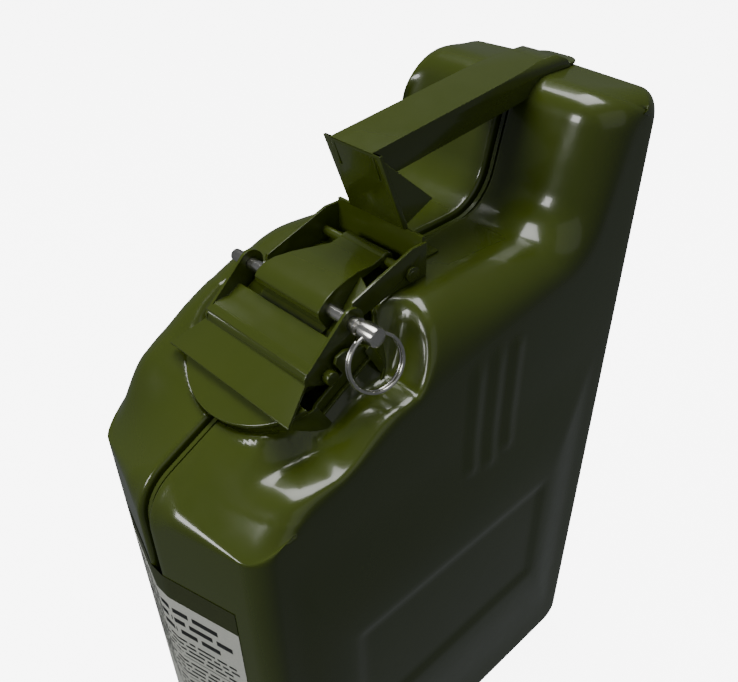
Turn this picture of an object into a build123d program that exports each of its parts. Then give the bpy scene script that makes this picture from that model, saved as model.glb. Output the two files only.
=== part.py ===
from build123d import *
import os

# Jerry can, millimetres. +Z is up, -X is the mouth end and the origin is the
# middle of the footprint. The can is two pressed steel halves that meet in the
# plane y = 0, a slanted mouth with a hinged lid, a lever that locks the lid and
# a carrying handle that bridges a hollow in the top.

# Driving dimensions of the body
FRONT_X = -133.2
REAR_X = 133.5
TOP_Z = 398.0
HALF_WIDTH = 60.0
SHEET = 0.9
SIDE_RADIUS = 9.5
DECK_Z = 335.0
PANEL_RISE = 3.0

# Seam: both halves turn inwards into a groove and are welded on a narrow flange
GROOVE_HALF = 4.0
GROOVE_DEPTH = 7.0
FLANGE_HALF = 1.0
FLANGE_TOP = 2.5

# Mouth and lid, in the slanted frame of the mouth: x to the rear, z outwards
MOUTH_TILT = 30.0
MOUTH_CENTRE = (-58.0, 0.0, 321.0)
WELL_RADIUS = 42.0
WELL_DEPTH = 12.0
TUBE_BORE = 25.0
TUBE_WALL = 1.5
TUBE_STEP = 0.6
LIP_TOP = -5.0
SPOUT_DEPTH = 10.0
LID_RADIUS = 43.5
LID_SHEET = 1.4

# Axes of the moving pieces
HINGE_X, HINGE_Z = -5.0, 340.5
LEVER_X, LEVER_Z = -44.3, 336.0
STUD_X, STUD_Z = -58.7, 317.5
PIN_RADIUS = 3.0
HINGE_PIN_RADIUS = 2.2
RUNNING_GAP = 0.06

# Sheet fittings
EAR_INSIDE = 26.8
EAR_SHEET = 1.5
LEVER_HALF = 33.7
LEVER_SHEET = 1.5
HANDLE_HALF = 12.5
HANDLE_SHEET = 1.6

OUTLINE = [
    (FRONT_X, 0), (REAR_X, 0), (REAR_X, TOP_Z), (90, TOP_Z),
    (74, DECK_Z + 2), (-17.8, DECK_Z), (FRONT_X, 276),
]
CORNER_RADII = [12, 12, 10, 16, 24, 40, 26]

MOUTH = Plane(
    origin=MOUTH_CENTRE,
    x_dir=Vector(1, 0, 0).rotate(Axis.Y, -MOUTH_TILT),
    z_dir=Vector(0, 0, 1).rotate(Axis.Y, -MOUTH_TILT),
)

# The same slanted frame seen from the side: x to the rear, y outwards
MOUTH_SIDE = Plane(origin=MOUTH_CENTRE, x_dir=MOUTH.x_dir, z_dir=(0, -1, 0))


def in_mouth(x, z):
    """Place in the slanted frame of the mouth for a point of the side view."""
    local = MOUTH_SIDE.to_local_coords(Vector(x, 0, z))
    return (local.X, local.Y)


HINGE = in_mouth(HINGE_X, HINGE_Z)
PIN = in_mouth(LEVER_X, LEVER_Z)
STUD = in_mouth(STUD_X, STUD_Z)
STUD_RADIUS = 3.2

os.makedirs("parts", exist_ok=True)


def finish(piece, name):
    """Label a finished piece and write its STEP file."""
    piece.label = name
    export_step(piece, f"parts/{name}.step")


def can_outline(inset):
    """Side outline of the can as a face, moved inwards by inset."""
    with BuildSketch() as outline:
        with BuildLine():
            FilletPolyline(*OUTLINE, radius=CORNER_RADII, close=True)
        make_face()
        if inset > 0:
            offset(amount=-inset, mode=Mode.REPLACE)
    return outline.sketch


def side_plate(outline, near, sheet):
    """Flat plate with a side outline, from y = -near outwards by one sheet."""
    with BuildPart() as plate:
        with BuildSketch(Plane.XZ.offset(near)):
            Polygon(*outline, align=None)
        extrude(amount=sheet)
    return plate.part


def half_can(inset, seam_face):
    """Solid of the half on the -Y side, with every wall moved in by inset."""
    with BuildPart() as half:
        with BuildSketch(Plane.XZ.offset(GROOVE_HALF + inset)):
            add(can_outline(inset))
        extrude(amount=HALF_WIDTH - GROOVE_HALF - 2 * inset)
        fillet(half.edges().group_by(Axis.Y)[0], SIDE_RADIUS - inset)
        with BuildSketch(Plane.XZ.offset(seam_face)):
            add(can_outline(GROOVE_DEPTH + inset))
        extrude(amount=GROOVE_HALF + 2)
        # Side panel: a low pyramid with a flat rectangle in the middle
        with BuildSketch(Plane.XZ.offset(HALF_WIDTH - 2 - inset)):
            with Locations((0, 140)):
                Rectangle(230 - 2 * inset, 232 - 2 * inset)
        with BuildSketch(Plane.XZ.offset(HALF_WIDTH + PANEL_RISE - inset)):
            with Locations((0, 142)):
                Rectangle(166 - 2 * inset, 98 - 2 * inset)
        loft()
    return half.part


def shoulder_relief(drop):
    """Space above the low shoulder beside the mouth, on the -Y side only."""
    with BuildPart() as relief:
        with BuildSketch(Plane.XZ.offset(38 - drop)):
            Polygon(
                (-112, 286 - drop), (-60, 291 - drop), (-40, 299 - drop),
                (-28 + drop, 312 - drop), (-16 + drop, 332), (-16 + drop, 360), (-130, 360),
                (-130, 286 - drop),
                align=None,
            )
        extrude(amount=40)
    return relief.part


# The well of the mouth is cut from both halves and closed by the collar
with BuildPart() as well_cut:
    with BuildSketch(MOUTH.offset(-60)):
        Circle(WELL_RADIUS)
    extrude(amount=90)

# Body: two pressed halves, the left one without the low shoulder
with BuildPart() as right_shell:
    add(half_can(0, FLANGE_HALF))
    add(shoulder_relief(0), mode=Mode.SUBTRACT)
    add(half_can(SHEET, FLANGE_HALF - 1) - shoulder_relief(SHEET), mode=Mode.SUBTRACT)
    add(well_cut.part, mode=Mode.SUBTRACT)
finish(right_shell.part, "right_shell")

with BuildPart() as left_shell:
    add(mirror(half_can(0, FLANGE_HALF), Plane.XZ, mode=Mode.PRIVATE))
    add(mirror(half_can(SHEET, FLANGE_HALF - 1), Plane.XZ, mode=Mode.PRIVATE), mode=Mode.SUBTRACT)
    add(well_cut.part, mode=Mode.SUBTRACT)
finish(left_shell.part, "left_shell")

# Envelope of the outside of the body, used to trim what lies against it
with BuildPart() as envelope:
    with BuildSketch(Plane.XZ.offset(-HALF_WIDTH)):
        add(can_outline(0))
    extrude(amount=2 * HALF_WIDTH)

with BuildPart() as seam_flange:
    with BuildSketch(Plane.XZ.offset(-FLANGE_HALF)):
        add(can_outline(FLANGE_TOP))
    extrude(amount=2 * FLANGE_HALF)
    with BuildSketch(Plane.XZ.offset(-FLANGE_HALF - 1)):
        add(can_outline(GROOVE_DEPTH + 2))
    extrude(amount=2 * FLANGE_HALF + 2, mode=Mode.SUBTRACT)
    add(well_cut.part, mode=Mode.SUBTRACT)
finish(seam_flange.part, "seam_flange")

# Mouth: collar, tube with a rolled lip, and the breather pipe below its mouth
with BuildPart() as neck_collar:
    with BuildSketch(MOUTH.offset(-WELL_DEPTH - 26)):
        Circle(WELL_RADIUS)
        Circle(WELL_RADIUS - 1.2, mode=Mode.SUBTRACT)
    extrude(amount=50)
    add(envelope.part, mode=Mode.INTERSECT)
    with BuildSketch(MOUTH.offset(-WELL_DEPTH - 1.2)):
        Circle(WELL_RADIUS)
        Circle(TUBE_BORE + TUBE_WALL, mode=Mode.SUBTRACT)
    extrude(amount=1.2)
    add(shoulder_relief(0), mode=Mode.SUBTRACT)
finish(neck_collar.part, "neck_collar")

with BuildPart() as neck_tube:
    with BuildSketch(MOUTH.offset(-40)):
        Circle(TUBE_BORE + TUBE_WALL)
    extrude(amount=40 + LIP_TOP)
    with BuildSketch(MOUTH.offset(LIP_TOP - 4)):
        Circle(TUBE_BORE + 5)
    extrude(amount=4)
    fillet(neck_tube.edges().filter_by(GeomType.CIRCLE).sort_by(SortBy.RADIUS)[-2:], 1.6)
    with BuildSketch(MOUTH.offset(-41)):
        Circle(TUBE_BORE - TUBE_STEP)
    extrude(amount=60, mode=Mode.SUBTRACT)
    with BuildSketch(MOUTH.offset(LIP_TOP - SPOUT_DEPTH)):
        Circle(TUBE_BORE)
    extrude(amount=60, mode=Mode.SUBTRACT)
finish(neck_tube.part, "neck_tube")

BREATHER_X = 19.0
BREATHER_TOP = LIP_TOP - SPOUT_DEPTH - 0.5
with BuildPart() as breather_tube:
    with BuildSketch(MOUTH.offset(BREATHER_TOP - 105)):
        with Locations((BREATHER_X, 0)):
            Circle(5)
            Circle(4.2, mode=Mode.SUBTRACT)
    extrude(amount=105)
finish(breather_tube.part, "breather_tube")

# Catch lugs: the studs of the lever lie in a notch that is open forwards and outwards
NOTCH_FLOOR = STUD[1] - STUD_RADIUS - 0.4
with BuildPart() as right_catch_lug:
    with BuildSketch(MOUTH_SIDE.offset(34.8)):
        Polygon(
            (-16, -WELL_DEPTH), (-17.5, NOTCH_FLOOR - 1), (-14, NOTCH_FLOOR), (STUD[0] + 4.6, NOTCH_FLOOR),
            (STUD[0] + 4.6, 1), (STUD[0] + 7, 3), (9, 2), (17, -6), (17, -WELL_DEPTH),
            align=None,
        )
    extrude(amount=1.8)
finish(right_catch_lug.part, "right_catch_lug")

with BuildPart() as left_catch_lug:
    add(mirror(right_catch_lug.part, Plane.XZ, mode=Mode.PRIVATE))
finish(left_catch_lug.part, "left_catch_lug")

# Hinge bracket: two ears, the web between them and the feet on the deck
EAR_OUTLINE = [
    (4.6, DECK_Z + 0.1), (4.6, 352), (-4, 352), (-39, 340.5), (-41, 330), (-18, DECK_Z + 0.1),
]
with BuildPart() as hinge_bracket:
    add(side_plate(EAR_OUTLINE, EAR_INSIDE, EAR_SHEET))
    mirror(about=Plane.XZ)
    with Locations((3.8, 0, (DECK_Z + 354.4) / 2)):
        Box(1.6, 2 * EAR_INSIDE, 354.4 - DECK_Z - 0.2)
    with Locations((14, 0, DECK_Z + 1.0)):
        Box(20, 36, 1.5)
    with BuildSketch(Plane.XZ.offset(-40)):
        with Locations((HINGE_X, HINGE_Z)):
            Circle(HINGE_PIN_RADIUS)
    extrude(amount=80, mode=Mode.SUBTRACT)
    add(envelope.part, mode=Mode.SUBTRACT)
finish(hinge_bracket.part, "hinge_bracket")

with BuildPart() as hinge_pin:
    with BuildSketch(Plane.XZ.offset(-30)):
        with Locations((HINGE_X, HINGE_Z)):
            Circle(HINGE_PIN_RADIUS)
    extrude(amount=60)
    with BuildSketch(Plane.XZ.offset(EAR_INSIDE + EAR_SHEET)):
        with Locations((HINGE_X, HINGE_Z)):
            Circle(3.6)
    extrude(amount=1.5)
    with BuildSketch(Plane.XZ.offset(-EAR_INSIDE - EAR_SHEET - 1.5)):
        with Locations((HINGE_X, HINGE_Z)):
            Circle(3.6)
    extrude(amount=1.5)
finish(hinge_pin.part, "hinge_pin")

# Handle: a folded channel that slopes up to the rear, with a welded tongue
with BuildPart() as handle:
    with BuildSketch(Plane.XZ.offset(-HANDLE_HALF)):
        Polygon((-12.6, 391.4), (100, 405), (110, 405), (117, 402), (121, TOP_Z),
                (100, 391), (84, 389), (-8, 378.4), align=None)
    extrude(amount=2 * HANDLE_HALF)
    fillet(handle.edges().filter_by(Plane.XZ).group_by(Axis.Z)[-1], 4)
    with BuildSketch(Plane.XZ.offset(-HANDLE_HALF + HANDLE_SHEET)):
        Polygon((-20, 388.9), (100, 403.4), (109, 403.4), (115, 401), (119, TOP_Z - 1),
                (100, 380), (-20, 370), align=None)
    extrude(amount=2 * (HANDLE_HALF - HANDLE_SHEET), mode=Mode.SUBTRACT)
    add(envelope.part, mode=Mode.SUBTRACT)
finish(handle.part, "handle")

with BuildPart() as handle_tongue:
    with BuildSketch(Plane.XY.offset(TOP_Z)):
        with Locations((121.1, 0)):
            Rectangle(9, 24, align=(Align.MIN, Align.CENTER))
            tongue_corners = vertices().group_by(Axis.X)[-1]
        fillet(tongue_corners, 7)
    extrude(amount=1.5)
finish(handle_tongue.part, "handle_tongue")

# Leg under the front of the handle: a leaning plate with two folded gussets
LEG_TOP = (-12.6, 391.2)
LEG_FOOT = (1.6, 354.5)
with BuildPart() as handle_leg:
    with BuildSketch(Plane.XZ.offset(-17)):
        Polygon(LEG_TOP, LEG_FOOT, (LEG_FOOT[0] + 3.2, LEG_FOOT[1]), (LEG_TOP[0] + 1.8, LEG_TOP[1] + 0.1),
                align=None)
    extrude(amount=34)
    gusset = side_plate([(-10, 389), (22, 362), (4.8, 354.5), (2.2, 356)], 13.4, 1.6)
    add(gusset)
    add(mirror(gusset, Plane.XZ, mode=Mode.PRIVATE))
    add(handle.part, mode=Mode.SUBTRACT)
finish(handle_leg.part, "handle_leg")

# Label on the narrow front face
with BuildPart() as front_label:
    with Locations((FRONT_X - 0.15, 0, 150)):
        Box(0.3, 87, 160)
finish(front_label.part, "front_label")

# Lid: a round plate with a rolled rim, cut back beside the lever and the ears
with BuildPart() as lid_plate:
    with BuildSketch(MOUTH.offset(-2.6)):
        Circle(LID_RADIUS)
    extrude(amount=2.6)
    with BuildSketch(MOUTH.offset(-2.6)):
        Circle(LID_RADIUS - 2)
    extrude(amount=2.6 - LID_SHEET, mode=Mode.SUBTRACT)
    with BuildSketch(MOUTH.offset(-5)):
        for side in (1, -1):
            with Locations((20.5, side * 51.5)):
                Rectangle(79, 40)
            with Locations((57.5, side * 45.5)):
                Rectangle(80, 40)
    extrude(amount=10, mode=Mode.SUBTRACT)
    with BuildSketch(MOUTH.offset(-5)):
        Circle(3)
    extrude(amount=10, mode=Mode.SUBTRACT)
finish(lid_plate.part, "lid_plate")

with BuildPart() as lid_gasket:
    with BuildSketch(MOUTH.offset(LIP_TOP + 0.1)):
        Circle(31)
        Circle(21, mode=Mode.SUBTRACT)
    extrude(amount=-LIP_TOP - 0.1 - LID_SHEET)
finish(lid_gasket.part, "lid_gasket")

with BuildPart() as gasket_retainer:
    with BuildSketch(MOUTH.offset(LIP_TOP + 0.1)):
        Circle(20.9)
        Circle(3, mode=Mode.SUBTRACT)
    extrude(amount=-LIP_TOP - 0.1 - LID_SHEET)
    with BuildSketch(MOUTH.offset(LIP_TOP)):
        Circle(5.6)
    extrude(amount=1.3, mode=Mode.SUBTRACT)
finish(gasket_retainer.part, "gasket_retainer")

with BuildPart() as lid_rivet:
    with BuildSketch(MOUTH.offset(LIP_TOP + 0.1)):
        Circle(5.5)
    extrude(amount=1.1)
    with BuildSketch(MOUTH.offset(LIP_TOP + 1)):
        Circle(2.99)
    extrude(amount=-LIP_TOP - 1)
finish(lid_rivet.part, "lid_rivet")

# Yoke: a plate on the lid, folded around the steel pin in front and rolled around the hinge pin
YOKE_SHEET = 1.5
BLOCK_HALF = 21.0
with BuildPart() as yoke:
    with BuildSketch(MOUTH):
        Polygon((-6, -BLOCK_HALF), (26, -BLOCK_HALF), (46, -14), (46, 14), (26, BLOCK_HALF),
                (-6, BLOCK_HALF), align=None)
    extrude(amount=YOKE_SHEET)
    with BuildSketch(MOUTH_SIDE.offset(-BLOCK_HALF)):
        with Locations((PIN[0], PIN[1] - 0.05)):
            RectangleRounded(12, 12, 3)
    extrude(amount=2 * BLOCK_HALF)
    with BuildSketch(MOUTH_SIDE.offset(-14)):
        Polygon((45, YOKE_SHEET), (47, YOKE_SHEET), (HINGE[0] + 2.5, HINGE[1] + 3.4), HINGE,
                (HINGE[0] - 3.4, HINGE[1] + 2.4), (45.6, 0), (45, 0), align=None)
        with Locations(HINGE):
            Circle(4.2)
    extrude(amount=28)
    with BuildSketch(MOUTH_SIDE.offset(-BLOCK_HALF - 1)):
        with Locations(PIN):
            Circle(PIN_RADIUS + RUNNING_GAP)
        with Locations(HINGE):
            Circle(HINGE_PIN_RADIUS + RUNNING_GAP)
    extrude(amount=2 * BLOCK_HALF + 2, mode=Mode.SUBTRACT)
finish(yoke.part, "yoke")

# Lever: a bent flap with a roll across it, carried by two side plates
FLAP_TOP = [(9, 3.2), (2, 3.6), (-4.4, 6.6), (-8.4, 6.6), (-11.8, 3.2), (-29.2, 3.0)]
with BuildPart() as lever:
    with BuildSketch(MOUTH_SIDE.offset(-42)):
        with BuildLine():
            Polyline(*FLAP_TOP)
            offset(amount=LEVER_SHEET / 2, side=Side.BOTH)
        make_face()
    extrude(amount=84)
    with BuildSketch(MOUTH.offset(-5)):
        Polygon((10, -LEVER_HALF), (-11.8, -LEVER_HALF), (-31, -41.2), (-31, 41.2),
                (-11.8, LEVER_HALF), (10, LEVER_HALF), align=None)
    extrude(amount=20, mode=Mode.INTERSECT)
    for start in (-LEVER_HALF, LEVER_HALF - LEVER_SHEET):
        with BuildSketch(MOUTH_SIDE.offset(start)):
            with Locations(PIN):
                Circle(6.5)
            with Locations(STUD):
                Circle(4.6)
            with Locations((-8.6, 3.6)):
                Circle(3.2)
            make_hull()
        extrude(amount=LEVER_SHEET)
    with BuildSketch(MOUTH_SIDE.offset(-LEVER_HALF - 1)):
        with Locations(PIN):
            Circle(PIN_RADIUS + RUNNING_GAP)
    extrude(amount=2 * LEVER_HALF + 2, mode=Mode.SUBTRACT)
finish(lever.part, "lever")

with BuildPart() as right_latch_stud:
    with BuildSketch(MOUTH_SIDE.offset(LEVER_HALF)):
        with Locations(STUD):
            Circle(STUD_RADIUS)
    extrude(amount=4)
finish(right_latch_stud.part, "right_latch_stud")

with BuildPart() as left_latch_stud:
    add(mirror(right_latch_stud.part, Plane.XZ, mode=Mode.PRIVATE))
finish(left_latch_stud.part, "left_latch_stud")

# Steel pin: the axle of the lever, with a knob and a pull ring on the right
PIN_TIP = 44.4
KNOB_START = 40.0
KNOB_END = 49.0
RING_Y = -44.5
RING_RADIUS = 12.6
RING_WIRE = 1.1
RING_HOLE = 2.4
RING_LEAN = 16
RING_TWIST = 12
with BuildPart() as safety_pin:
    with BuildSketch(Plane.XZ.offset(-PIN_TIP)):
        with Locations((LEVER_X, LEVER_Z)):
            Circle(PIN_RADIUS)
    extrude(amount=PIN_TIP + KNOB_START)
    chamfer(safety_pin.edges().group_by(Axis.Y)[-1], 1)
    with BuildSketch(Plane.XZ.offset(KNOB_START)):
        with Locations((LEVER_X, LEVER_Z)):
            Circle(4.4)
    extrude(amount=KNOB_END - KNOB_START)
    chamfer(safety_pin.edges().group_by(Axis.Y)[0], 1)
    with BuildSketch(Plane.YZ.offset(LEVER_X - 6)):
        with Locations((RING_Y, LEVER_Z)):
            Circle(RING_HOLE)
    extrude(amount=12, mode=Mode.SUBTRACT)
finish(safety_pin.part, "safety_pin")

# The ring hangs through the cross hole, leaning outwards and turned a little forwards
with BuildPart() as pull_ring:
    with Locations(
        Location((LEVER_X, RING_Y, LEVER_Z))
        * Location((0, 0, 0), (0, 0, -RING_TWIST))
        * Location((0, 0, 0), (-RING_LEAN, 0, 0))
        * Location((0, 0, 0.3 - RING_RADIUS), (90, 0, 0))
    ):
        Torus(RING_RADIUS, RING_WIRE)
finish(pull_ring.part, "pull_ring")
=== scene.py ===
import math
import random

import bmesh
import bpy
from mathutils import Matrix, Vector
from mathutils.geometry import delaunay_2d_cdt


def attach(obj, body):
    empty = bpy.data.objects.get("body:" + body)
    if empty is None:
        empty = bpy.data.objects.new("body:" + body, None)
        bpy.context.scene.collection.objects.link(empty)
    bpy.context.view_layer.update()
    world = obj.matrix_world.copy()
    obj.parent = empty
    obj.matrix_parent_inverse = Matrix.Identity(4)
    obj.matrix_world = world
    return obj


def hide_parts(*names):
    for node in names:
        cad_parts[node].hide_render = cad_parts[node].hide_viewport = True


# The can stands on z = 0 with its mouth towards -X. The lengths of its shape are
# millimetres, and add_piece turns them into metres. Bump distances and the stage
# are in metres.
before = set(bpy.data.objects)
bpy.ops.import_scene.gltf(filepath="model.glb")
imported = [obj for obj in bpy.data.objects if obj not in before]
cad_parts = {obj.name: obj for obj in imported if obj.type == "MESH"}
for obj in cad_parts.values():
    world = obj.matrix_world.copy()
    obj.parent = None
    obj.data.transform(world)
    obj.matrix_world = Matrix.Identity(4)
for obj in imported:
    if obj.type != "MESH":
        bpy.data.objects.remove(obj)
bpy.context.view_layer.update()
MM = 0.001

# Body
HALF_WIDTH = 60.0
GROOVE_HALF = 2.6
GROOVE_DEPTH = 8.0
GROOVE_ROUND = 0.8
GROOVE_SLOPE = 0.2
LIP_RADIUS = 2.2
FLANGE_HALF = 1.0
RUN_STEP = 3.0
ARC_STEPS = 10
FLAT_STEPS = 18
ROUND_STEPS = 14
GRID_STEP = 3.5

# Mouth: its slanted frame has s to the rear, y across and d outwards
MOUTH_CENTRE = Vector((-58.0, 0.0, 321.0))
MOUTH_REAR = Vector((math.cos(math.radians(30)), 0.0, math.sin(math.radians(30))))
MOUTH_OUT = Vector((-math.sin(math.radians(30)), 0.0, math.cos(math.radians(30))))
WELL_FLOOR = -12.0
WELL_WALL = (38.5, 45.0)
BEAD_RADII = (43.5, 46.0, 50.0)
BEAD_HEIGHT = 1.6
TUBE_RADIUS = 26.5
MOUTH_BELOW = -40.0


# ---------------------------------------------------------------- materials

def new_material(name):
    """Node material with an empty Principled shader; returns material, nodes, links and shader."""
    material = bpy.data.materials.new(name)
    material.use_nodes = True
    nodes = material.node_tree.nodes
    return material, nodes, material.node_tree.links, nodes["Principled BSDF"]


def add_noise(nodes, links, scale, detail, stretch=(1, 1, 1)):
    """Noise in object space; returns its factor socket."""
    where = nodes.new("ShaderNodeTexCoord")
    mapping = nodes.new("ShaderNodeMapping")
    mapping.inputs["Scale"].default_value = stretch
    noise = nodes.new("ShaderNodeTexNoise")
    noise.inputs["Scale"].default_value = scale
    noise.inputs["Detail"].default_value = detail
    links.new(where.outputs["Object"], mapping.inputs["Vector"])
    links.new(mapping.outputs["Vector"], noise.inputs["Vector"])
    return noise.outputs["Fac"]


def add_range(nodes, links, factor, low, high):
    """Maps a noise factor to a range of values; returns the value socket."""
    node = nodes.new("ShaderNodeMapRange")
    node.inputs["From Min"].default_value = 0.3
    node.inputs["From Max"].default_value = 0.7
    node.inputs["To Min"].default_value = low
    node.inputs["To Max"].default_value = high
    links.new(factor, node.inputs["Value"])
    return node.outputs["Result"]


def add_mix(nodes, links, factor, first, second):
    """Mixes two colours by a factor socket; returns the colour socket."""
    node = nodes.new("ShaderNodeMix")
    node.data_type = "RGBA"
    node.inputs["A"].default_value = (*first, 1)
    node.inputs["B"].default_value = (*second, 1)
    links.new(factor, node.inputs["Factor"])
    return node.outputs["Result"]


def add_bump(nodes, links, shader, factor, distance, strength):
    """Bump of one noise on the shader's normal."""
    node = nodes.new("ShaderNodeBump")
    node.inputs["Distance"].default_value = distance
    node.inputs["Strength"].default_value = strength
    links.new(factor, node.inputs["Height"])
    links.new(node.outputs["Normal"], shader.inputs["Normal"])


def enamel_material():
    """Olive stove enamel: glossy, with slight orange peel and cloudy tone."""
    material, nodes, links, shader = new_material("olive_enamel")
    cloud = add_noise(nodes, links, 14, 3)
    tone = add_mix(nodes, links, add_range(nodes, links, cloud, 0, 1),
                   (0.050, 0.070, 0.006), (0.057, 0.078, 0.007))
    links.new(tone, shader.inputs["Base Color"])
    speck = add_noise(nodes, links, 90, 4)
    links.new(add_range(nodes, links, speck, 0.2, 0.27), shader.inputs["Roughness"])
    shader.inputs["Specular IOR Level"].default_value = 0.45
    shader.inputs["Coat Weight"].default_value = 0.5
    shader.inputs["Coat Roughness"].default_value = 0.06
    peel = add_noise(nodes, links, 160, 1)
    add_bump(nodes, links, shader, peel, 0.0004, 0.12)
    return material


def steel_material():
    """Zinc-plated steel with faint streaks along the pin."""
    material, nodes, links, shader = new_material("zinc_steel")
    streak = add_noise(nodes, links, 180, 2, (1, 0.06, 1))
    tone = add_mix(nodes, links, add_range(nodes, links, streak, 0, 1),
                   (0.62, 0.61, 0.56), (0.72, 0.70, 0.65))
    links.new(tone, shader.inputs["Base Color"])
    links.new(add_range(nodes, links, streak, 0.2, 0.26), shader.inputs["Roughness"])
    shader.inputs["Metallic"].default_value = 1.0
    add_bump(nodes, links, shader, streak, 0.00001, 0.05)
    return material


def rubber_material():
    """Black nitrile rubber with a dusty surface."""
    material, nodes, links, shader = new_material("black_rubber")
    dust = add_noise(nodes, links, 60, 5)
    tone = add_mix(nodes, links, add_range(nodes, links, dust, 0, 1),
                   (0.012, 0.012, 0.012), (0.03, 0.03, 0.028))
    links.new(tone, shader.inputs["Base Color"])
    shader.inputs["Roughness"].default_value = 0.7
    add_bump(nodes, links, shader, dust, 0.0002, 0.3)
    return material


def paper_material(name, dark, light):
    """Coated label paper or print on it, with a faint fibre."""
    material, nodes, links, shader = new_material(name)
    fibre = add_noise(nodes, links, 900, 4)
    tone = add_mix(nodes, links, add_range(nodes, links, fibre, 0, 1), dark, light)
    links.new(tone, shader.inputs["Base Color"])
    shader.inputs["Roughness"].default_value = 0.42
    add_bump(nodes, links, shader, fibre, 0.00005, 0.3)
    return material


ENAMEL = enamel_material()
STEEL = steel_material()
RUBBER = rubber_material()
PAPER = paper_material("label_paper", (0.70, 0.71, 0.63), (0.78, 0.79, 0.70))
PRINT = paper_material("label_print", (0.012, 0.013, 0.012), (0.03, 0.031, 0.028))
STRIP = paper_material("label_strip", (0.036, 0.046, 0.010), (0.048, 0.060, 0.014))


# ------------------------------------------------------------------ helpers

def add_piece(name, points, faces, material, slot, body):
    """Mesh object from points in millimetres that rides on a body of the frame."""
    mesh = bpy.data.meshes.new(name)
    mesh.from_pydata([Vector(p) * MM for p in points], [], faces)
    mesh.validate()
    mesh.materials.append(material)
    mesh.shade_smooth()
    piece = bpy.data.objects.new(name, mesh)
    bpy.context.scene.collection.objects.link(piece)
    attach(piece, body)
    return piece


def at_mouth(s, y, d):
    """Point of the slanted mouth frame."""
    return MOUTH_CENTRE + s * MOUTH_REAR + Vector((0, y, 0)) + d * MOUTH_OUT


def mouth_place(point):
    """The s, y and d of a point."""
    offset = point - MOUTH_CENTRE
    return offset.dot(MOUTH_REAR), offset.y, offset.dot(MOUTH_OUT)


def smooth_step(low, high, value):
    """0 at low, 1 at high, smooth between them."""
    part = min(max((value - low) / (high - low), 0.0), 1.0)
    return part * part * (3 - 2 * part)


def blend(first, second, part):
    return first + (second - first) * part


def weld_and_face(piece):
    """Merges doubled points and turns every face outwards."""
    mesh = bmesh.new()
    mesh.from_mesh(piece.data)
    bmesh.ops.remove_doubles(mesh, verts=mesh.verts, dist=0.00002)
    bmesh.ops.recalc_face_normals(mesh, faces=mesh.faces)
    mesh.to_mesh(piece.data)
    mesh.free()


def round_edges(piece, width, angle=35):
    """Bevels the sharp edges of a plate and keeps its flats flat."""
    bevel = piece.modifiers.new("rounded", "BEVEL")
    bevel.width = width * MM
    bevel.segments = 3
    bevel.limit_method = "ANGLE"
    bevel.angle_limit = math.radians(angle)
    bevel.harden_normals = True
    bevel.use_clamp_overlap = True


# --------------------------------------------------------------------- body
# Each corner of the side outline: the seam's corner and cut, then for each
# half the corner of its side rim, the rim's cut, the crown of the wall, the
# rise of the shoulder and the width of the round edge. A last value, where
# given, is the corner's cut in the wall away from the groove.

class Corner:
    def __init__(self, seam, right, left, wall_cut=None):
        self.seam = seam
        self.wall_cut = seam[2] if wall_cut is None else wall_cut
        self.sides = {"right": right, "left": left}


# seam (x, z, cut); right and left (x, z, cut, crown, rise, round); wall cut
CORNERS = [
    Corner((-133.2, 0, 12), (-110, 10, 10, 15, 0, 11), (-108, 10, 10, 17, 0, 11)),
    Corner((133.5, 0, 12), (122, 10, 10, 2, 0, 11), (122, 10, 10, 2, 0, 11)),
    Corner((133.5, 398, 10), (122, 387, 9, 2, 0, 12), (123, 388, 9, 2, 0, 12)),
    Corner((90, 398, 12), (112, 389, 10, 1, 0, 24), (80, 388, 16, 0, 0, 12)),
    Corner((74, 337, 18), (90, 320, 18, 0, 0, 30), (74, 328, 14, 1, 0, 14)),
    Corner((30, 335.8, 8), (30, 312, 8, 0, 0, 30), (30, 325, 8, 1, 0, 14)),
    Corner((-17.8, 335, 9), (-22, 303, 8, 0, 0, 26), (-16, 325, 9, 0, 1, 13)),
    Corner((-42, 322.6, 5), (-42, 298, 8, 1, 0, 22), (-42, 318, 10, 0, 5, 13)),
    Corner((-56, 315.5, 5), (-58, 289, 8, 3, 0, 20), (-60, 310, 9, 0, 6, 13)),
    Corner((-84, 301.1, 5), (-82, 281, 10, 5, 0, 14), (-84, 296, 8, 1, 5, 13)),
    Corner((-133.2, 276, 16), (-110, 274, 8, 14, 0, 10), (-108, 272, 12, 16, 0, 11), 8),
]


def rounded_corner(before, here, after, cut):
    """Points of a curve close to an arc that starts and ends at a distance cut from a corner."""
    back = (before - here).normalized()
    ahead = (after - here).normalized()
    start = here + back * cut
    end = here + ahead * cut
    turn = math.pi - back.angle(ahead)
    handle = cut * 2 / 3
    if turn > 0.02:
        handle = 4 / 3 * math.tan(turn / 4) * cut / math.tan(turn / 2)
    pull_in = start - back * handle
    pull_out = end - ahead * handle
    points = []
    for step in range(ARC_STEPS + 1):
        t = step / ARC_STEPS
        points.append((1 - t) ** 3 * start + 3 * (1 - t) ** 2 * t * pull_in
                      + 3 * (1 - t) * t ** 2 * pull_out + t ** 3 * end)
    return points


def rounded_loop(corners, run_steps):
    """Closed loop of arcs and runs through corners given as (x, z, cut)."""
    places = [Vector((c[0], c[1])) for c in corners]
    count = len(places)
    arcs = [
        rounded_corner(places[i - 1], places[i], places[(i + 1) % count], corners[i][2])
        for i in range(count)
    ]
    loop = []
    for i, arc in enumerate(arcs):
        loop += arc
        start = arc[-1]
        end = arcs[(i + 1) % count][0]
        for step in range(1, run_steps[i]):
            loop.append(start.lerp(end, step / run_steps[i]))
    return loop


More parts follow.
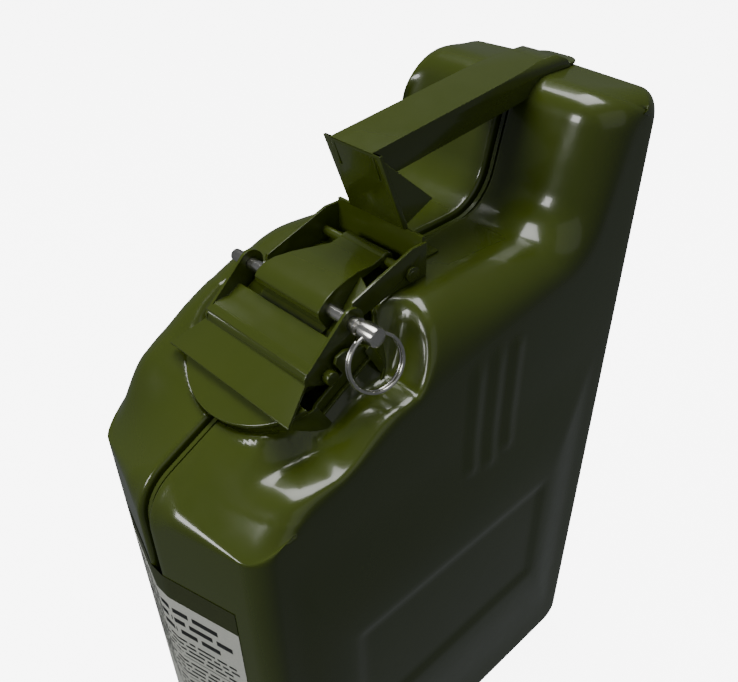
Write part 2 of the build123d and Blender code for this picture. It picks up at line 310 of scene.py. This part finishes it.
def loop_values(values, run_steps):
    """Corner values spread along the loop of rounded_loop."""
    spread = []
    for i, value in enumerate(values):
        spread += [value] * (ARC_STEPS + 1)
        following = values[(i + 1) % len(values)]
        for step in range(1, run_steps[i]):
            spread.append(blend(value, following, smooth_step(0, run_steps[i], step)))
    return spread


def inward_normals(loop):
    """Unit normals of a counter-clockwise loop that point into it."""
    normals = []
    for i in range(len(loop)):
        along = loop[(i + 1) % len(loop)] - loop[i - 1]
        normals.append(Vector((-along.y, along.x)).normalized())
    return normals


def seam_steps():
    """How many steps each run between two corners gets."""
    steps = []
    for i, corner in enumerate(CORNERS):
        following = CORNERS[(i + 1) % len(CORNERS)]
        length = math.dist(corner.seam[:2], following.seam[:2])
        near_mouth = -134 <= following.seam[0] < 0 and corner.seam[1] > 200
        steps.append(max(2, round(length / (RUN_STEP * (0.6 if near_mouth else 1)))))
    return steps


class Half:
    """Loops and section values of one half of the body."""

    def __init__(self, side):
        steps = seam_steps()
        self.seam = rounded_loop([c.seam for c in CORNERS], steps)
        self.wall = rounded_loop([(*c.seam[:2], c.wall_cut) for c in CORNERS], steps)
        self.rim = rounded_loop([c.sides[side][:3] for c in CORNERS], steps)
        self.crown = loop_values([c.sides[side][3] for c in CORNERS], steps)
        self.rise = loop_values([c.sides[side][4] for c in CORNERS], steps)
        self.round = loop_values([c.sides[side][5] for c in CORNERS], steps)
        self.inward = inward_normals(self.seam)

    def surface(self, i, across):
        """Point (x, z) of the outer wall at loop index i and distance across from the seam plane."""
        start = GROOVE_HALF + LIP_RADIUS
        part = min(max((across - start) / (HALF_WIDTH - start), 0.0), 1.0)
        top = self.crown[i] * part - self.rise[i] * smooth_step(0.25, 0.8, part)
        top_end = self.crown[i] - self.rise[i]
        from_edge = self.round[i] / (HALF_WIDTH - start)
        turn = min(max((part - 1 + from_edge) / from_edge, 0.0), 1.0)
        edge = 1 - math.sqrt(max(1 - turn * turn, 0.0))
        inward = self.inward[i]
        base = self.seam[i].lerp(self.wall[i], smooth_step(0, 0.25, part))
        reach = self.rim[i] - base
        return base + inward * top + (reach - inward * top_end) * edge


def section_stations(round_width):
    """Distances from the seam plane at which the wall is sampled."""
    start = GROOVE_HALF + LIP_RADIUS
    flat_end = HALF_WIDTH - round_width
    flats = [start + (flat_end - start) * k / FLAT_STEPS for k in range(1, FLAT_STEPS)]
    rounds = [
        HALF_WIDTH - round_width * (1 - math.sin(k * math.pi / (2 * ROUND_STEPS)))
        for k in range(ROUND_STEPS + 1)
    ]
    return [start] + flats + rounds


# Crest of the low shoulder beside the lever, on the right only: x and height
SHELF = [(-112, 287), (-78, 288), (-40, 304), (-32, 305), (-4, 348)]
SHELF_SOFTNESS = 3.0
SHELF_ACROSS = (26.0, 40.0)


def shelf_height(x):
    """Height of the low shoulder at x, or None beyond its ends."""
    for (x0, z0), (x1, z1) in zip(SHELF, SHELF[1:]):
        if x0 <= x < x1:
            return blend(z0, z1, smooth_step(x0, x1, x))
    return None


def sink_wall(point):
    """Lowers the wall to the low shoulder and, around the mouth, to the floor of the well."""
    shelf = shelf_height(point.x)
    if point.y < 0 and point.z > 280 and shelf is not None:
        low = smooth_step(*SHELF_ACROSS, -point.y)
        soft = shelf - SHELF_SOFTNESS * math.log(1 + math.exp((shelf - point.z) / SHELF_SOFTNESS))
        point = point - Vector((0, 0, (point.z - soft) * low))
    s, y, d = mouth_place(point)
    reach = math.hypot(s, y)
    inner, crest, outer = BEAD_RADII
    bead = smooth_step(inner, crest, reach) * (1 - smooth_step(crest, outer, reach))
    if d > MOUTH_BELOW:
        point = point + MOUTH_OUT * BEAD_HEIGHT * bead * smooth_step(8, 24, -y) * smooth_step(-4, 8, -s)
    sunk = 1 - smooth_step(*WELL_WALL, reach)
    if sunk > 0 and d > MOUTH_BELOW:
        point = point + MOUTH_OUT * (min(WELL_FLOOR, d) - d) * sunk
    return point


PANEL_OUTER = (-112.0, 112.0, 26.0, 254.0)
PANEL_INNER = (-80.0, 84.0, 93.0, 191.0)
PANEL_RISE = 3.6
PANEL_SINK = 1.6
MARK_RISE = 1.1
MARK_EDGE = (2.2, 4.6)
MARK_BARS = [(8, 238, 300), (22, 236, 302), (36, 238, 300)]


def soft_ramp(value):
    """Ramp from 0 to 1 with soft ends."""
    return smooth_step(-0.08, 1.08, value)


def panel_relief(x, z):
    """How far the side panel stands proud at a place of the side."""
    left, right, low, high = PANEL_OUTER
    in_left, in_right, in_low, in_high = PANEL_INNER
    ramps = [
        (x - left) / (in_left - left), (right - x) / (right - in_right),
        (z - low) / (in_low - low), (high - z) / (high - in_high),
    ]
    rise = PANEL_RISE * soft_ramp(min(ramps))
    inside = min(x - in_left, in_right - x, z - in_low, in_high - z)
    rise -= PANEL_SINK * smooth_step(6, 14, inside)
    for bar_x, bar_low, bar_high in MARK_BARS:
        past = max(bar_low - z, z - bar_high, 0.0)
        rise += MARK_RISE * (1 - smooth_step(*MARK_EDGE, math.hypot(x - bar_x, past)))
    return rise


def side_fill(rim, outwards, first_index):
    """Points and faces that fill the side inside the rim loop."""
    low_x = min(p.x for p in rim)
    high_x = max(p.x for p in rim)
    low_z = min(p.y for p in rim)
    high_z = max(p.y for p in rim)
    flat = list(rim)
    columns = int((high_x - low_x) / GRID_STEP)
    rows = int((high_z - low_z) / GRID_STEP)
    for row in range(1, rows):
        for column in range(1, columns):
            place = Vector((low_x + column * GRID_STEP, low_z + row * GRID_STEP))
            if inside_loop(place, rim) and loop_distance(place, rim) > GRID_STEP * 0.7:
                flat.append(place)
    edges = [(i, (i + 1) % len(rim)) for i in range(len(rim))]
    found = delaunay_2d_cdt(flat, edges, [], 1, 1e-4)
    places, triangles, sources = found[0], found[2], found[3]
    points = []
    index = []
    for k, place in enumerate(places):
        source = min(sources[k]) if sources[k] else len(rim)
        if source < len(rim):
            index.append(source)
        else:
            away = smooth_step(0, 16, loop_distance(place, rim))
            y = outwards * (HALF_WIDTH + away * panel_relief(place.x, place.y))
            index.append(first_index + len(points))
            points.append(Vector((place.x, y, place.y)))
    return points, [[index[v] for v in t] for t in triangles]


def inside_loop(place, loop):
    """Whether a place lies inside a loop."""
    inside = False
    for i in range(len(loop)):
        a = loop[i - 1]
        b = loop[i]
        if (a.y > place.y) != (b.y > place.y):
            if place.x < a.x + (place.y - a.y) / (b.y - a.y) * (b.x - a.x):
                inside = not inside
    return inside


def loop_distance(place, loop):
    """Distance from a place to the nearest point of a loop."""
    return min((place - p).length for p in loop)


def half_body(side):
    """One pressed half: groove, wall, round edge and side panel."""
    half = Half(side)
    outwards = -1 if side == "right" else 1
    count = len(half.seam)
    rows = []
    for i in range(count):
        inward = half.inward[i]
        seam = half.seam[i]
        bottom = seam + inward * GROOVE_DEPTH
        row = [(FLANGE_HALF, bottom), (GROOVE_HALF - GROOVE_ROUND, bottom)]
        row.append((GROOVE_HALF - GROOVE_SLOPE, seam + inward * (GROOVE_DEPTH - GROOVE_ROUND)))
        for k in range(5):
            angle = k * math.pi / 10
            row.append((GROOVE_HALF + LIP_RADIUS * (1 - math.cos(angle)),
                        seam + inward * LIP_RADIUS * (1 - math.sin(angle))))
        for across in section_stations(half.round[i]):
            row.append((across, half.surface(i, across)))
        rows.append([sink_wall(Vector((p.x, outwards * y, p.y))) for y, p in row])
    width = len(rows[0])
    rim = [Vector((row[-1].x, row[-1].z)) for row in rows]
    points = [row[-1] for row in rows]
    for row in rows:
        points += row[:-1]
    number = [
        [count + i * (width - 1) + j for j in range(width - 1)] + [i]
        for i in range(count)
    ]
    faces = []
    for i in range(count):
        following = (i + 1) % count
        for j in range(width - 1):
            faces.append([number[i][j], number[following][j],
                          number[following][j + 1], number[i][j + 1]])
    extra, triangles = side_fill(rim, outwards, len(points))
    points += extra
    faces += triangles
    kept = []
    for face in faces:
        places = [mouth_place(points[v]) for v in face]
        if not all(math.hypot(s, y) < TUBE_RADIUS and d > MOUTH_BELOW for s, y, d in places):
            kept.append(face)
    piece = add_piece(side + "_half", points, kept, ENAMEL, "enamel", "can")
    weld_and_face(piece)
    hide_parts(side + "_shell")
    return half


RIGHT = half_body("right")
LEFT = half_body("left")


# ------------------------------------------------------- nodes kept or dressed

def dressed(node, body, material, width):
    """Copy of a CAD node with merged flats and rounded edges, which stands for it."""
    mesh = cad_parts[node].data.copy()
    mesh.materials.clear()
    mesh.materials.append(material)
    shape = bmesh.new()
    shape.from_mesh(mesh)
    bmesh.ops.remove_doubles(shape, verts=shape.verts, dist=0.00001)
    bmesh.ops.dissolve_limit(shape, angle_limit=math.radians(1), verts=shape.verts, edges=shape.edges)
    shape.to_mesh(mesh)
    shape.free()
    mesh.shade_smooth()
    piece = bpy.data.objects.new(node + "_finished", mesh)
    bpy.context.scene.collection.objects.link(piece)
    round_edges(piece, width)
    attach(piece, body)
    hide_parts(node)


DRESSED = [
    ("handle", "can", ENAMEL, "enamel", 1.0),
    ("handle_tongue", "can", ENAMEL, "enamel", 0.6),
    ("handle_leg", "can", ENAMEL, "enamel", 0.6),
    ("hinge_bracket", "can", ENAMEL, "enamel", 0.4),
    ("hinge_pin", "can", ENAMEL, "enamel", 0.4),
    ("neck_collar", "can", ENAMEL, "enamel", 0.3),
    ("neck_tube", "can", ENAMEL, "enamel", 0.3),
    ("right_catch_lug", "can", ENAMEL, "enamel", 0.4),
    ("left_catch_lug", "can", ENAMEL, "enamel", 0.4),
    ("lid_plate", "lid", ENAMEL, "enamel", 0.8),
    ("gasket_retainer", "lid", STEEL, "zinc", 0.3),
    ("lid_rivet", "lid", STEEL, "zinc", 0.4),
    ("lid_gasket", "lid", RUBBER, "seal", 0.4),
    ("lever", "lever", ENAMEL, "enamel", 0.7),
    ("right_latch_stud", "lever", ENAMEL, "enamel", 0.5),
    ("left_latch_stud", "lever", ENAMEL, "enamel", 0.5),
]
for node, body, material, slot, width in DRESSED:
    dressed(node, body, material, width)

for node, material in (("seam_flange", ENAMEL), ("breather_tube", STEEL)):
    kept_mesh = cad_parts[node].data
    kept_mesh.materials.clear()
    kept_mesh.materials.append(material)
    kept_mesh.shade_smooth()


# --------------------------------------------------- pieces of the closure

PIN_PLACE = (19.36, 6.14)
HINGE_PLACE = (55.65, -9.61)
RING_PIVOT = Vector((-44.3, -44.5, 336))
RING_RADIUS = 12.6
RING_WIRE = 0.85
RING_OFFSET = 0.95
RING_STEPS = 72
RING_GAP_STEPS = 5
RING_CROSSING = (50, 90)
# Side profile of the folded yoke as (s, d, half width): front, over the pin, down to the hinge eye
YOKE_PROFILE = [
    (13.0, 0.4, 21), (13.0, 8.6, 21), (14.2, 11.0, 21), (16.8, 12.1, 21), (21.5, 12.1, 20.6),
    (26.0, 10.9, 19.6), (33.0, 7.4, 17.6), (41.0, 2.2, 15.2), (49.0, -3.8, 14), (55.0, -5.6, 13.6),
    (55.0, -9.6, 13.6), (46.0, -4.6, 14), (36.0, 0.4, 17), (24.0, 0.4, 20),
]


def extruded(profile):
    """Points and faces of a closed side profile that spans its own half width each way."""
    count = len(profile)
    points = [at_mouth(s, -half, d) for s, d, half in profile]
    points += [at_mouth(s, half, d) for s, d, half in profile]
    faces = [list(range(count)), list(range(2 * count - 1, count - 1, -1))]
    for k in range(count):
        following = (k + 1) % count
        faces.append([k, following, count + following, count + k])
    return points, faces


def turned(profile, centre, steps=48):
    """Points and faces of a round piece about an axis along Y through centre; profile is (y, radius)."""
    points = []
    for y, radius in profile:
        for k in range(steps):
            angle = 2 * math.pi * k / steps
            x = centre.x + radius * math.cos(angle)
            z = centre.z + radius * math.sin(angle)
            points.append(Vector((x, y, z)))
    faces = []
    for row in range(len(profile) - 1):
        for k in range(steps):
            following = (k + 1) % steps
            faces.append([row * steps + k, row * steps + following,
                          (row + 1) * steps + following, (row + 1) * steps + k])
    faces.append(list(range(steps)))
    last = (len(profile) - 1) * steps
    faces.append([last + k for k in reversed(range(steps))])
    return points, faces


def tube_along(path, radius, steps=12):
    """Points and faces of a closed-ended round wire along a path."""
    points = []
    for i, place in enumerate(path):
        along = (path[min(i + 1, len(path) - 1)] - path[max(i - 1, 0)]).normalized()
        side = along.cross(Vector((0, 1, 0.3))).normalized()
        other = along.cross(side)
        for k in range(steps):
            angle = 2 * math.pi * k / steps
            points.append(place + (side * math.cos(angle) + other * math.sin(angle)) * radius)
    faces = []
    for i in range(len(path) - 1):
        for k in range(steps):
            following = (k + 1) % steps
            faces.append([i * steps + k, i * steps + following,
                          (i + 1) * steps + following, (i + 1) * steps + k])
    faces.append(list(range(steps)))
    last = (len(path) - 1) * steps
    faces.append([last + k for k in reversed(range(steps))])
    return points, faces


def join_shapes(*shapes):
    """One list of points and faces from several."""
    points = []
    faces = []
    for more, polygons in shapes:
        faces += [[len(points) + v for v in polygon] for polygon in polygons]
        points += more
    return points, faces


def make_yoke():
    """Folded yoke: block over the pin, plate on the lid and rolled hinge eye."""
    body = extruded(YOKE_PROFILE)
    plate = extruded([(-6, 0.1, 21), (-6, 1.6, 21), (15, 1.6, 21), (15, 0.1, 21)])
    hinge = at_mouth(HINGE_PLACE[0], 0, HINGE_PLACE[1])
    eye = turned([(-14, 3.4), (-13.4, 4.2), (13.4, 4.2), (14, 3.4)], hinge)
    piece = add_piece("yoke_folded", *join_shapes(body, plate, eye), ENAMEL, "enamel", "lid")
    weld_and_face(piece)
    round_edges(piece, 0.9, 25)
    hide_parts("yoke")


def make_pin():
    """Steel lock pin with a chamfered tip, collars and a knob."""
    profile = [
        (44.4, 2.0), (43.6, 2.9), (40.6, 3.0), (40.2, 3.0), (-36.4, 3.0), (-36.5, 3.9), (-37.6, 3.9),
        (-37.7, 3.0), (-40.0, 3.0), (-40.1, 4.1), (-40.5, 4.4), (-48.0, 4.4), (-48.7, 4.1), (-49.0, 3.4),
    ]
    centre = at_mouth(PIN_PLACE[0], 0, PIN_PLACE[1])
    piece = add_piece("safety_pin_turned", *turned(profile, centre), STEEL, "zinc", "pin")
    weld_and_face(piece)
    round_edges(piece, 0.15)
    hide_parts("safety_pin")


def make_ring():
    """Split ring of two turns that leans outwards from the cross hole of the knob."""
    lean = Matrix.Rotation(math.radians(-12), 3, "Z") @ Matrix.Rotation(math.radians(-16), 3, "X")
    path = []
    for k in range(2 * RING_STEPS - RING_GAP_STEPS):
        angle = 2 * math.pi * k / RING_STEPS
        across = blend(-RING_OFFSET, RING_OFFSET, smooth_step(*RING_CROSSING, k))
        place = Vector((RING_RADIUS * math.sin(angle), across, 0.3 + RING_RADIUS * (math.cos(angle) - 1)))
        path.append(RING_PIVOT + lean @ place)
    piece = add_piece("pull_ring_split", *tube_along(path, RING_WIRE), STEEL, "zinc", "ring")
    weld_and_face(piece)
    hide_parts("pull_ring")


make_yoke()
make_pin()
make_ring()


# -------------------------------------------------------------------- label

LABEL_TOP = 231.0
LABEL_BOTTOM = 70.0
LABEL_HALF = 43.5
STRIP_BOTTOM = 216.0
PAPER_PROUD = 0.25
PRINT_PROUD = 0.32
PRINT_START = LABEL_HALF - 4
FRONT_LIMIT = -132.0


def front_place(y, z, proud):
    """Point on the narrow front, a little proud of the wall."""
    half = RIGHT if y < 0 else LEFT
    across = abs(y)
    index = min(range(len(half.seam)),
                key=lambda i: abs(half.seam[i].y - z) + 1000 * (half.seam[i].x > FRONT_LIMIT))
    wall = half.surface(index, max(across, GROOVE_HALF + LIP_RADIUS))
    return Vector((wall.x - proud, y, z))


def front_patch(low_y, high_y, low_z, high_z, proud):
    """Points and faces of a thin patch that follows the front."""
    columns = max(2, round((high_y - low_y) / 3))
    points = []
    for z in (low_z, high_z):
        for k in range(columns + 1):
            points.append(front_place(blend(low_y, high_y, k / columns), z, proud))
    faces = [[k, k + 1, columns + 2 + k, columns + 1 + k] for k in range(columns)]
    return points, faces


def front_patches(name, patches, material, proud):
    """One piece made of patches (low y, high y, low z, high z)."""
    points = []
    faces = []
    for patch in patches:
        more, quads = front_patch(*patch, proud)
        faces += [[len(points) + v for v in quad] for quad in quads]
        points += more
    piece = add_piece(name, points, faces, material, "paper", "can")
    weld_and_face(piece)
    return piece


def word_bars(chance, z, height, lengths, gap, stop, margin):
    """Bars of one row of print, as words of a chance length with gaps between them."""
    bars = []
    y = PRINT_START
    while y > -LABEL_HALF + stop:
        end = max(y - chance.uniform(*lengths), -LABEL_HALF + margin)
        bars.append((end, y, z - height, z))
        y = end - gap
    return bars


def label_rows():
    """Bars that stand for a heading, rows of print and rules."""
    chance = random.Random(7)
    rows = []
    z = STRIP_BOTTOM - 7
    for _ in range(3):
        rows += word_bars(chance, z, 3.4, (8, 20), 2.4, 12, 4)
        z -= 7.2
    z -= 1
    for line in range(14):
        if line % 5 == 4:
            rows.append((-LABEL_HALF + 2, LABEL_HALF - 2, z - 0.5, z))
            z -= 3.4
            continue
        rows += word_bars(chance, z, 1.5, (3, 11), 1.5, 8, 3)
        z -= 3.6
    return rows


PAPER_AREA = (-LABEL_HALF, LABEL_HALF, LABEL_BOTTOM, STRIP_BOTTOM)
STRIP_AREA = (-LABEL_HALF, LABEL_HALF, STRIP_BOTTOM, LABEL_TOP)
paper = front_patches("front_label_paper", [PAPER_AREA], PAPER, PAPER_PROUD)
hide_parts("front_label")
front_patches("front_label_strip", [STRIP_AREA], STRIP, PAPER_PROUD)
front_patches("front_label_print", label_rows(), PRINT, PRINT_PROUD)


# -------------------------------------------------------------------- stage
# Lengths here are metres, as Blender takes them.

FLOOR_HALF = 9
CAMERA_PLACE = (-0.2242, -0.2355, 0.5184)
CAMERA_AZIMUTH = -46.91
CAMERA_ELEVATION = 38.19
CAMERA_ROLL = 1.545
CAMERA_LENS = 39.5
CAMERA_SHIFT = (-0.0580, 0.0562)


def add_area(name, place, target, size, energy):
    """Rectangular soft light at a place, turned to a target, in metres."""
    light = bpy.data.lights.new(name, "AREA")
    light.shape = "RECTANGLE"
    light.size = size[0]
    light.size_y = size[1]
    light.energy = energy
    holder = bpy.data.objects.new(name, light)
    holder.location = place
    holder.rotation_euler = (Vector(target) - Vector(place)).to_track_quat("-Z", "Y").to_euler()
    bpy.context.scene.collection.objects.link(holder)


def add_floor():
    """Pale floor, far wider than the view."""
    mesh = bpy.data.meshes.new("floor")
    far = FLOOR_HALF
    mesh.from_pydata([(-far, -far, 0), (far, -far, 0), (far, far, 0), (-far, far, 0)], [], [(0, 1, 2, 3)])
    material, _, _, shader = new_material("pale_floor")
    shader.inputs["Base Color"].default_value = (0.85, 0.85, 0.85, 1)
    shader.inputs["Roughness"].default_value = 0.9
    shader.inputs["Emission Color"].default_value = (1, 1, 1, 1)
    shader.inputs["Emission Strength"].default_value = 7.0
    mesh.materials.append(material)
    floor = bpy.data.objects.new("floor", mesh)
    bpy.context.scene.collection.objects.link(floor)
    floor.visible_glossy = False
    floor.visible_diffuse = False


def add_camera():
    """Camera above the front right corner, turned a little about its own axis."""
    azimuth = math.radians(CAMERA_AZIMUTH)
    elevation = math.radians(CAMERA_ELEVATION)
    roll = math.radians(CAMERA_ROLL)
    back = Vector((math.sin(azimuth) * math.cos(elevation),
                   -math.cos(azimuth) * math.cos(elevation), math.sin(elevation)))
    right = Vector((0, 0, 1)).cross(back).normalized()
    up = back.cross(right)
    turned_right = right * math.cos(roll) + up * math.sin(roll)
    turned_up = up * math.cos(roll) - right * math.sin(roll)
    data = bpy.data.cameras.new("camera")
    data.lens = CAMERA_LENS
    data.sensor_width = 36
    data.shift_x, data.shift_y = CAMERA_SHIFT
    data.clip_start = 0.01
    holder = bpy.data.objects.new("camera", data)
    axes = Matrix((turned_right, turned_up, back)).transposed().to_4x4()
    holder.matrix_world = Matrix.Translation(CAMERA_PLACE) @ axes
    bpy.context.scene.collection.objects.link(holder)
    bpy.context.scene.camera = holder


def add_world():
    """Dim grey surroundings."""
    world = bpy.data.worlds.new("studio")
    world.use_nodes = True
    world.node_tree.nodes["Background"].inputs["Color"].default_value = (0.9, 0.95, 1, 1)
    world.node_tree.nodes["Background"].inputs["Strength"].default_value = 0.12
    bpy.context.scene.world = world


add_floor()
add_camera()
add_world()
add_area("key", (-1.45, 0.25, 0.95), (0, 0, 0.35), (0.5, 0.5), 11)
add_area("top", (0.15, 0.35, 2.0), (0, 0, 0.3), (1.0, 1.0), 26)
add_area("fill", (-0.4, -2.0, 1.6), (0, 0, 0.2), (2.4, 2.0), 4)
